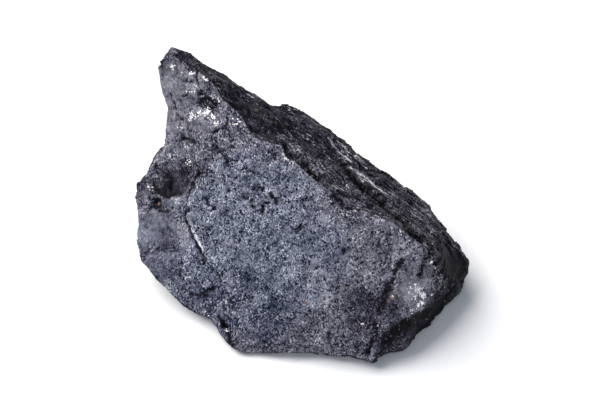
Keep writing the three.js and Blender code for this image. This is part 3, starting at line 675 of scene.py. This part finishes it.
class BrokenSurface(Net):
    """Breaks, beds, cracks, pits and grain, pushed in and out along the surface's normal"""

    def __init__(self, material):
        super().__init__(bpy.data.node_groups.new("broken surface", "GeometryNodeTree"))
        sockets = self.tree.interface
        sockets.new_socket("Geometry", in_out="INPUT", socket_type="NodeSocketGeometry")
        for label, value in RELIEF.items():
            sockets.new_socket(label, in_out="INPUT", socket_type="NodeSocketFloat").default_value = value
        sockets.new_socket("Geometry", in_out="OUTPUT", socket_type="NodeSocketGeometry")
        self.size = self.add("NodeGroupInput").outputs
        self.geometry = self.size["Geometry"]
        self.position = self.add("GeometryNodeInputPosition").outputs[0]
        self.normal = self.add("GeometryNodeInputNormal").outputs[0]
        self.place = self.scaled(self.position, 1 / MM)
        self.smooth = self.named("smooth_facet")
        self.clear = self.ramp(self.axis(self.place, "Z"), "clear of the floor")
        self.steady = self.cut(1.0, self.named("calm"), CALMED)
        self.bolder = self.eased(self.along(BEHIND), *RAMPS["back"], 1.0, self.size["Back relief"])
        self.round_edges()
        self.note_facings()
        self.push_breaks()
        self.sink_holes()
        self.rest_on_floor()
        real = self.add("GeometryNodeRealizeInstances", {"Geometry": self.geometry}).outputs[0]
        done = self.add("GeometryNodeSetMaterial", {"Geometry": real, "Material": material})
        self.feed(self.add("NodeGroupOutput").inputs["Geometry"], done.outputs[0])

    def named(self, name):
        node = self.add("GeometryNodeInputNamedAttribute", {"Name": name}, data_type="FLOAT")
        return node.outputs["Attribute"]

    def keep(self, name, value):
        feeds = {"Geometry": self.geometry, "Name": name}
        node = self.add("GeometryNodeStoreNamedAttribute", feeds, data_type="FLOAT")
        self.feed(node.inputs["Value"], value)
        self.geometry = node.outputs[0]

    def blurred(self, value, turns):
        feeds = {"Value": value, "Iterations": turns}
        return self.add("GeometryNodeBlurAttribute", feeds, data_type="FLOAT_VECTOR").outputs[0]

    def move(self, key, value):
        feeds = {"Geometry": self.geometry, key: value}
        self.geometry = self.add("GeometryNodeSetPosition", feeds).outputs[0]

    def push(self, direction, amount):
        """move by this many mm"""
        self.move("Offset", self.scaled(direction, self.times(amount, MM)))

    def round_edges(self):
        """The solid's edges rounded off, except along the calm stretches"""
        rounding = self.vector("SUBTRACT", self.blurred(self.position, EDGE_ROUNDING), self.position)
        self.move("Offset", self.scaled(rounding, self.math("SUBTRACT", 1.0, self.named("calm"))))

    def note_facings(self):
        """Where the surface is the dusty face, and where it cuts across the beds"""
        mean_normal = self.blurred(self.normal, BROAD_BLUR)
        self.off_edges = self.ramp(self.vector("LENGTH", mean_normal), "off the edges")
        self.broad = self.vector("NORMALIZE", mean_normal)
        dusted = self.vector("DOT_PRODUCT", self.broad, tuple(DUSTY_SIDE))
        wander = self.swing(self.texture("edge wander"), EDGE_WANDER)
        # The dusting marks also paint light on the right facet and shade along the foot of the right wall
        face = self.ramp(self.plus(dusted, self.named("dusting_and_painted_shading"), wander), "dusty face")
        self.keep("bedding_face", face)
        facing = self.vector("DOT_PRODUCT", self.broad, tuple(BED_NORMAL))
        self.keep("cross_bed", self.ramp(self.math("ABSOLUTE", facing), "across the beds"))
        self.face = self.named("bedding_face")
        self.cross = self.named("cross_bed")

    def chips(self, flattened, step, slope):
        """Flat chips, each with its own tilt"""
        cell = self.cells(flattened, step)
        away = self.vector("SUBTRACT", flattened, cell.outputs["Position"])
        tilt = self.vector("DOT_PRODUCT", away, self.centred(cell.outputs["Color"]))
        return self.times(tilt, slope)

    def beds(self, level, thickness, depth):
        """Steps between beds, each of which stands out or back by its own amount"""
        feeds = {"W": level, "Scale": self.over(thickness)}
        cell = self.add("ShaderNodeTexVoronoi", feeds, voronoi_dimensions="1D").outputs["Color"]
        return self.swing(self.axis(cell, "X"), depth)

    def push_breaks(self):
        """Chips flattened along the beds, the beds themselves, low swells and the bulges"""
        size = self.size
        wander = self.noise(self.place, *NOISES["chip wander"])
        warped = self.warped(self.place, wander, CHIP_WANDER)
        pull = self.scaled(tuple(BED_NORMAL), self.vector("DOT_PRODUCT", warped, tuple(BED_NORMAL)))
        flattened = self.vector("ADD", warped, pull)
        large = self.chips(flattened, size["Chip size"], size["Chip slope"])
        small = self.chips(flattened, size["Flake size"], size["Flake slope"])
        chip = self.times(self.plus(large, small), self.mix(self.face, 1.0, CHIP_ON_FACE), self.bolder)
        chip = self.cut(chip, self.smooth, SMOOTHED["chips"])
        level = self.plus(self.along(BED_NORMAL), self.times(self.texture("bed lift"), BED_LIFT))
        bed = self.beds(level, size["Bed thickness"], size["Bed depth"])
        lamina = self.beds(level, size["Lamina thickness"], size["Lamina depth"])
        patchy = self.ramp(self.texture("bed patches"), "bed patches")
        bed = self.times(self.plus(bed, lamina), self.cross, patchy, self.bolder)
        bed = self.cut(bed, self.smooth, SMOOTHED["beds"])
        swell = self.noise(self.place, size["Swell size"]).outputs["Fac"]
        swell = self.swing(swell, size["Swell depth"])
        total = self.plus(chip, bed, swell, self.named("bulge"))
        total = self.times(total, self.off_edges, self.steady, self.clear)
        self.push(self.broad, self.plus(total, size["Skin"]))

    def sink_holes(self):
        """Small round holes, cracks and pits, then grain"""
        size = self.size
        hole = self.cells(self.place, size["Hole spacing"])
        reach = self.ramp(self.axis(hole.outputs["Color"], "X"), "hole reach")
        reach = self.times(reach, self.mix(self.face, HOLE_OFF_FACE, 1.0))
        core = self.times(reach, HOLE_CORE)
        edge = self.plus(reach, HAIR)
        hole = self.eased(hole.outputs["Distance"], core, edge, 1.0, 0.0)
        hole = self.times(hole, self.ramp(reach, "hole there"))
        self.keep("hole", self.cut(hole, self.smooth, SMOOTHED["holes"]))
        pit = self.times(self.named("pit"), size["Pit depth"])
        hole = self.times(self.named("hole"), size["Hole depth"])
        dent = self.plus(self.named("dent"), pit, hole)
        grain = self.noise(self.place, size["Grain size"], *GRAIN_NOISE).outputs["Fac"]
        grain = self.swing(grain, self.times(size["Grain depth"], 2.0))
        grain = self.cut(grain, self.smooth, SMOOTHED["grain"])
        self.push(self.normal, self.times(self.math("SUBTRACT", grain, dent), self.clear))

    def rest_on_floor(self):
        """Nothing goes below the floor"""
        parts = self.add("ShaderNodeSeparateXYZ", {0: self.position}).outputs
        height = self.math("MAXIMUM", parts["Z"], 0.0)
        self.move("Position", self.joined(parts["X"], parts["Y"], height))


def broken(source, material):
    """The source with the relief, as a new plain mesh object"""
    modifier = source.modifiers.new("broken surface", "NODES")
    modifier.node_group = BrokenSurface(material).tree
    for item in modifier.node_group.interface.items_tree:
        if item.in_out == "INPUT" and item.name in RELIEF:
            modifier[item.identifier] = RELIEF[item.name]
    made = bpy.data.objects.new("lump_surface", worked_in(source, modifier))
    bpy.context.scene.collection.objects.link(made)
    return made


def thinned(surface, limit):
    """Fewer triangles where the surface is plain, so that the piece stays under the limit"""
    count = sum(len(face.vertices) - 2 for face in surface.data.polygons)
    fewer = surface.modifiers.new("fewer", "DECIMATE")
    fewer.ratio = min(1.0, limit / count)
    surface.data = worked_in(surface, fewer)


# -------------------------------------------------------------------- finishes


class CharcoalFinish(Net):
    """Dusty granular bedding face, black broken sides, smooth grey facets, painted glints and rust"""

    def __init__(self):
        self.material = bpy.data.materials.new("charcoal")
        self.material.use_nodes = True
        super().__init__(self.material.node_tree)
        self.tree.nodes.clear()
        self.place = self.scaled(self.add("ShaderNodeTexCoord").outputs["Object"], 1 / MM)
        self.height = self.axis(self.place, "Z")
        self.east = self.ramp(self.axis(self.place, "X"), "right flank")
        self.read_masks()
        self.make_grain()
        tone = self.tone()
        colour = self.colour(tone)
        self.shade(colour, self.painted_highlight())

    def attribute(self, name):
        return self.add("ShaderNodeAttribute", attribute_name=name).outputs["Fac"]

    def tint(self, first, second, factor):
        """the first shade where factor is 0, the second where it is 1"""
        node = self.add("ShaderNodeMix", data_type="RGBA")
        self.feed(node.inputs["Factor"], factor)
        for socket, shade in zip(node.inputs[6:8], (first, second)):
            self.feed(socket, (*shade, 1.0) if isinstance(shade, tuple) else shade)
        return node.outputs[2]

    def read_masks(self):
        self.face = self.attribute("bedding_face")
        self.smooth = self.attribute("smooth_facet")
        self.rough = self.attribute("rough_zone")
        # Dust and bare coal, with painted shade and painted light among the spots
        self.dust = self.attribute("dust")
        crumbly = self.texture("crumbs")
        self.crumbs = self.ramp(crumbly, "crumbs")
        pit = self.times(self.attribute("pit"), self.mix(self.face, 1.0, self.ramp(crumbly, "gaps")))
        crack = self.times(self.attribute("crack"), self.mix(self.rough, 1.0, self.crumbs))
        # Holes, cracks and pits, darkened below: partly the coal's own black, partly painted shade in the
        # recess
        self.hole = self.math("MAXIMUM", self.math("MAXIMUM", crack, pit), self.attribute("hole"))
        # The bright threads, mostly painted highlights, broken into fine lines along the beds
        lines = self.ramp(self.texture("streak lines", self.bed_place("streak lines")), "streak lines")
        streak_and_painted_highlight = self.attribute("streak_and_painted_highlight")
        lines = self.math("MAXIMUM", lines, self.ramp(streak_and_painted_highlight, "solid streak"))
        self.streak_and_painted_highlight = self.math("MINIMUM", self.times(streak_and_painted_highlight, lines), STREAK_AND_PAINTED_HIGHLIGHT_LIMIT)

    def bed_place(self, name):
        """Places squeezed along the beds, so that a texture there is drawn out into fibres"""
        return self.joined(
            self.along(BED_ALONG / STRETCH[name]),
            self.along(BED_ACROSS),
            self.along(BED_NORMAL * THINNED),
        )

    def make_grain(self):
        """Grain drawn out a little down the slope of the face, and fibres along the beds"""
        drawn_out = self.scaled(tuple(DIP), self.times(self.along(DIP), GRAIN_DRAWN))
        grain_place = self.vector("SUBTRACT", self.place, drawn_out)
        cell = self.cells(grain_place, GRAIN_CELL).outputs["Color"]
        self.random = self.centred(cell)
        self.shade_of = self.add("ShaderNodeSeparateColor", {0: cell}).outputs
        self.fine = self.texture("fine", grain_place)
        self.grains = {
            "cell": self.shade_of["Red"],
            "fine": self.fine,
            "middle": self.texture("middle", grain_place),
            "blotch": self.texture("blotch"),
        }

    def swings(self, shares, *names):
        """The swings that the named textures give the tone, added up"""
        return self.plus(*[self.swing(self.grains[name], shares[name]) for name in names])

    def edges(self, vector, step, width, meander):
        """1 on the meandering edges of cells of this step, 0 at width from them"""
        size, reach = meander
        place = self.warped(vector, self.noise(self.place, step * size), step * reach)
        edge = self.cells(place, step, feature="DISTANCE_TO_EDGE").outputs["Distance"]
        return self.eased(edge, 0.0, width / step, 1.0, 0.0)

    def crevices(self, step, width):
        there = self.ramp(self.noise(self.place, step * CREVICE_PATCH).outputs["Fac"], "crevice there")
        return self.times(self.edges(self.place, step, width, CREVICE_MEANDER), there)

    def flake_edges(self):
        edges = self.edges(self.bed_place("flake edges"), *FLAKE_EDGES, FLAKE_MEANDER)
        return self.times(edges, self.crumbs)

    def spread(self, value):
        """a swing with its middle drawn in and its ends drawn out, as sparse dark and pale grains are"""
        ends = self.times(self.math("ABSOLUTE", value), SPREAD_ENDS)
        return self.times(value, self.plus(SPREAD_MIDDLE, ends))

    def on_dust(self):
        """Sparse dark and pale grains, soft blotches, and dark crevices between crumbs"""
        lively = self.ramp(self.along(TO_FRONT_RIGHT), "lively side")
        lively = self.times(lively, self.ramp(self.texture("lively patches"), "lively patches"))
        grain = self.times(self.spread(self.swings(ON_DUST, "cell", "fine")), lively)
        coarse = self.plus(grain, self.swings(ON_DUST, "middle", "blotch"))
        crevice = self.math("MAXIMUM", *[self.crevices(*lines) for lines in CREVICES])
        coarse = self.math("SUBTRACT", coarse, self.times(crevice, ON_DUST["crevice"]))
        pale = self.math("MAXIMUM", coarse, 0.0)
        return self.math("SUBTRACT", coarse, self.times(pale, ON_DUST["pale cut"]))

    def on_broken(self):
        """Fibres where the surface cuts across the beds, plain breaks elsewhere, and fine specks"""
        thread = self.ramp(self.texture("thread", self.bed_place("thread")), "thread")
        thread = self.times(thread, self.ramp(self.texture("thread patches"), "thread patches"))
        fibres = self.plus(
            self.swing(self.texture("layer", self.bed_place("layer")), ON_BEDS["layer"]),
            self.swing(self.texture("band", self.bed_place("band")), ON_BEDS["band"]),
            self.times(thread, ON_BEDS["thread"]),
        )
        drawn = self.mix(self.attribute("cross_bed"), self.swings(ON_BROKEN, "middle"), fibres)
        grainy = self.times(
            self.ramp(self.along(TO_RIGHT), "grainy side"),
            self.eased(self.along(BEHIND), *RAMPS["back"], 1.0, GRAINY_BACK),
            self.ramp(self.height, "grainy height"),
        )
        specks = self.times(self.swings(ON_BROKEN, "cell", "fine"), grainy)
        mottle = self.swing(self.texture("mottle"), ON_BROKEN["mottle"])
        drawn = self.plus(drawn, specks, self.swings(ON_BROKEN, "blotch"), mottle)
        crumbled = self.plus(self.swings(ON_CRUMBS, "cell", "fine", "middle"), ON_CRUMBS["lift"])
        crumbled = self.plus(crumbled, self.times(self.flake_edges(), ON_CRUMBS["flake edge"]))
        return self.mix(self.rough, drawn, crumbled)

    def on_smooth(self):
        grain = self.times(self.swings(ON_SMOOTH, "cell", "fine"), self.ramp(self.height, "soft height"))
        return self.plus(grain, self.swings(ON_SMOOTH, "middle", "blotch"))

    def tone(self):
        tone = self.mix(self.face, BLACK_TONE, DUST_TONE)
        tone = self.mix(self.times(self.smooth, self.face), tone, SMOOTH_TONE)
        detail = self.mix(self.face, self.on_broken(), self.on_dust())
        detail = self.mix(self.smooth, detail, self.on_smooth())
        # The dust marks add dust and bare coal to the tone, and also painted shade and painted light
        tone = self.cut(self.plus(tone, self.dust, detail), self.hole, HOLE_PAINTED_SHADE)
        # The bright threads paint their pale tone over the rest, mostly as painted highlights
        tone = self.mix(self.streak_and_painted_highlight, tone, STREAK_AND_PAINTED_HIGHLIGHT_TONE)
        return self.math("MINIMUM", self.math("MAXIMUM", tone, DARKEST_TONE), PALEST_TONE)

    def colour(self, tone):
        """The shade of grey barely changes with the tone, so that pale grains aren't bluer"""
        far = self.vector("DISTANCE", self.place, BLUE_MIDDLE)
        far = self.ramp(self.plus(far, self.swing(self.texture("hue drift"), HUE_DRIFT)), "far from blue")
        cell = self.swing(self.shade_of["Green"], HUE_FLECKS["cell"])
        patch = self.swing(self.texture("hue flecks"), HUE_FLECKS["patch"])
        shade = self.tint(SHADES["blue dust"], SHADES["grey dust"], self.plus(far, cell, patch))
        shade = self.tint(SHADES["broken side"], shade, self.face)
        high = self.ramp(self.height, "smooth height")
        facet = self.tint(SHADES["low smooth facet"], SHADES["high smooth facet"], high)
        shade = self.tint(shade, facet, self.smooth)
        shade = self.tint(shade, SHADES["right facet"], self.times(self.east, self.smooth))
        shade = self.tint(shade, SHADES["bare"], self.ramp(self.dust, "bare"))
        shade = self.tint(shade, SHADES["hole"], self.times(self.hole, HOLE_SHADING))
        shade = self.scaled(shade, self.ramp(tone, "hue for tone"))
        shade = self.scaled(shade, self.ramp(self.streak_and_painted_highlight, "hue for streak"))
        seen = self.vector("ADD", self.joined(tone, tone, tone), shade)
        colour = self.add("ShaderNodeGamma", {"Color": seen, "Gamma": SCREEN_GAMMA}).outputs[0]
        rusty = self.times(self.attribute("rust"), self.ramp(self.fine, "rusty grains"))
        return self.tint(colour, RUST_COLOUR, rusty)

    def painted_highlight(self):
        """Painted highlights, as a mask of where the surface glints: small specks in cells, brighter
        blobs, and sparse sparkles on grains
        """
        painted_glint = self.attribute("painted_glint")
        painted_glint_speck = self.cells(self.place, PAINTED_GLINT_SPECK)
        chance = self.add("ShaderNodeSeparateColor", {0: painted_glint_speck.outputs["Color"]}).outputs["Red"]
        chosen = self.math("SUBTRACT", self.times(painted_glint, PAINTED_GLINT_SPECK_SHARE), chance)
        painted_highlight = self.times(
            self.ramp(chosen, "painted glint speck chosen"),
            self.ramp(painted_glint_speck.outputs["Distance"], "painted glint speck edge"),
        )
        flake = self.plus(painted_glint, self.swing(self.texture("flake"), PAINTED_GLINT_BLOB_SWING))
        painted_highlight = self.math("MAXIMUM", painted_highlight, self.ramp(flake, "painted glint blob"))
        painted_sparkle = self.ramp(self.shade_of["Blue"], "painted_sparkle")
        painted_sparkle = self.times(painted_sparkle, self.math("SUBTRACT", 1.0, self.smooth), PAINTED_SPARKLE)
        return self.math("MAXIMUM", painted_highlight, painted_sparkle)

    def shade(self, colour, painted_highlight):
        """Each grain has its own tilt; the glints are white painted into the base colour, a painted
        highlight, and on the right flank are a little mirror-like too
        """
        roughness = self.mix(self.face, ROUGHNESS["broken"], ROUGHNESS["dust"])
        roughness = self.mix(painted_highlight, roughness, ROUGHNESS["painted_glint"])
        tilt = self.mix(self.face, TILT["broken"], TILT["dust"])
        tilt = self.mix(self.smooth, tilt, TILT["smooth"])
        tilt = self.mix(painted_highlight, tilt, TILT["painted_glint"])
        flat = self.add("ShaderNodeNewGeometry").outputs["Normal"]
        facet = self.vector("NORMALIZE", self.vector("ADD", flat, self.scaled(self.random, tilt)))
        bump = self.add("ShaderNodeBump", {
            "Strength": BUMP_STRENGTH,
            "Distance": BUMP_DEPTH * MM,
            "Height": self.times(self.fine, self.mix(self.smooth, 1.0, BUMP_ON_SMOOTH)),
            "Normal": facet,
        })
        shader = self.add("ShaderNodeBsdfPrincipled", {
            "Metallic": self.times(painted_highlight, self.east, MIRROR_RIGHT),
            # The painted glints turn the base colour white: a painted highlight
            "Base Color": self.tint(colour, PAINTED_GLINT_COLOUR, painted_highlight),
            "Roughness": roughness,
            "Normal": bump.outputs[0],
            "Specular IOR Level": GLOSS,
        })
        output = self.add("ShaderNodeOutputMaterial")
        self.feed(output.inputs["Surface"], shader.outputs[0])


def plain_finish(name, colour, roughness):
    material = bpy.data.materials.new(name)
    material.use_nodes = True
    shader = material.node_tree.nodes["Principled BSDF"]
    shader.inputs["Base Color"].default_value = colour
    shader.inputs["Roughness"].default_value = roughness
    return material


# ---------------------------------------------------------------------- studio


def heading(azimuth, elevation):
    """A way to look, its azimuth counted from +X towards +Y"""
    turn = math.radians(azimuth)
    rise = math.radians(elevation)
    return Vector((math.cos(turn) * math.cos(rise), math.sin(turn) * math.cos(rise), math.sin(rise)))


def look_at(item, place, target):
    item.location = place
    item.rotation_euler = (Vector(target) - place).to_track_quat("-Z", "Y").to_euler()
    bpy.context.scene.collection.objects.link(item)


def camera():
    data = bpy.data.cameras.new("camera")
    data.lens = LENS
    data.sensor_width = SENSOR
    item = bpy.data.objects.new("camera", data)
    look_at(item, CAMERA_TARGET + heading(-90.0, CAMERA_RISE) * CAMERA_DISTANCE, CAMERA_TARGET)
    bpy.context.scene.camera = item


def softbox(name, way, distance, size, power, colour):
    """A rectangular soft light that shines on the middle of the floor"""
    data = bpy.data.lights.new(name, "AREA")
    data.shape = "RECTANGLE"
    data.size, data.size_y = size
    data.energy = power
    data.color = colour
    look_at(bpy.data.objects.new(name, data), heading(*way) * distance, (0.0, 0.0, 0.0))


def backdrop():
    """White behind the floor's edge, and a dim cool fill from the front left"""
    world = bpy.data.worlds.new("studio")
    world.use_nodes = True
    world.node_tree.nodes.clear()
    net = Net(world.node_tree)
    way = net.add("ShaderNodeTexCoord").outputs["Generated"]
    side = net.vector("DOT_PRODUCT", way, FILL_SIDE)
    fill = net.add("ShaderNodeBackground", {"Color": FILL_COLOUR, "Strength": net.eased(side, *FILL_RAMP)})
    seen = net.add("ShaderNodeBackground", {"Color": (1.0, 1.0, 1.0, 1.0)})
    choice = net.add("ShaderNodeMixShader")
    net.feed(choice.inputs[0], net.add("ShaderNodeLightPath").outputs["Is Camera Ray"])
    net.feed(choice.inputs[1], fill.outputs[0])
    net.feed(choice.inputs[2], seen.outputs[0])
    net.feed(net.add("ShaderNodeOutputWorld").inputs["Surface"], choice.outputs[0])
    bpy.context.scene.world = world


def studio():
    bpy.ops.mesh.primitive_plane_add(size=FLOOR_SIDE, location=(0, 0, 0))
    floor = bpy.context.object
    floor.name = "floor"
    floor.data.materials.append(plain_finish("pale floor", (0.9, 0.9, 0.9, 1.0), 0.9))
    softbox("key", (140, 44), distance=1.6, size=(2.0, 1.3), power=56.0, colour=(1.0, 0.98, 0.95))
    softbox("kicker", (-39, 18), distance=0.6, size=(0.16, 0.16), power=0.5, colour=(1.0, 1.0, 1.0))
    backdrop()
    bpy.context.scene.view_settings.view_transform = "Standard"


# ------------------------------------------------------------------------ make

camera()
studio()
base = fine_base(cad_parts["lump"])
mark_surface(base)
surface = broken(base, CharcoalFinish().material)
bpy.data.objects.remove(base)
thinned(surface, MOST_TRIANGLES)
surface.data.shade_smooth()
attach(surface, "root")
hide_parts("lump")
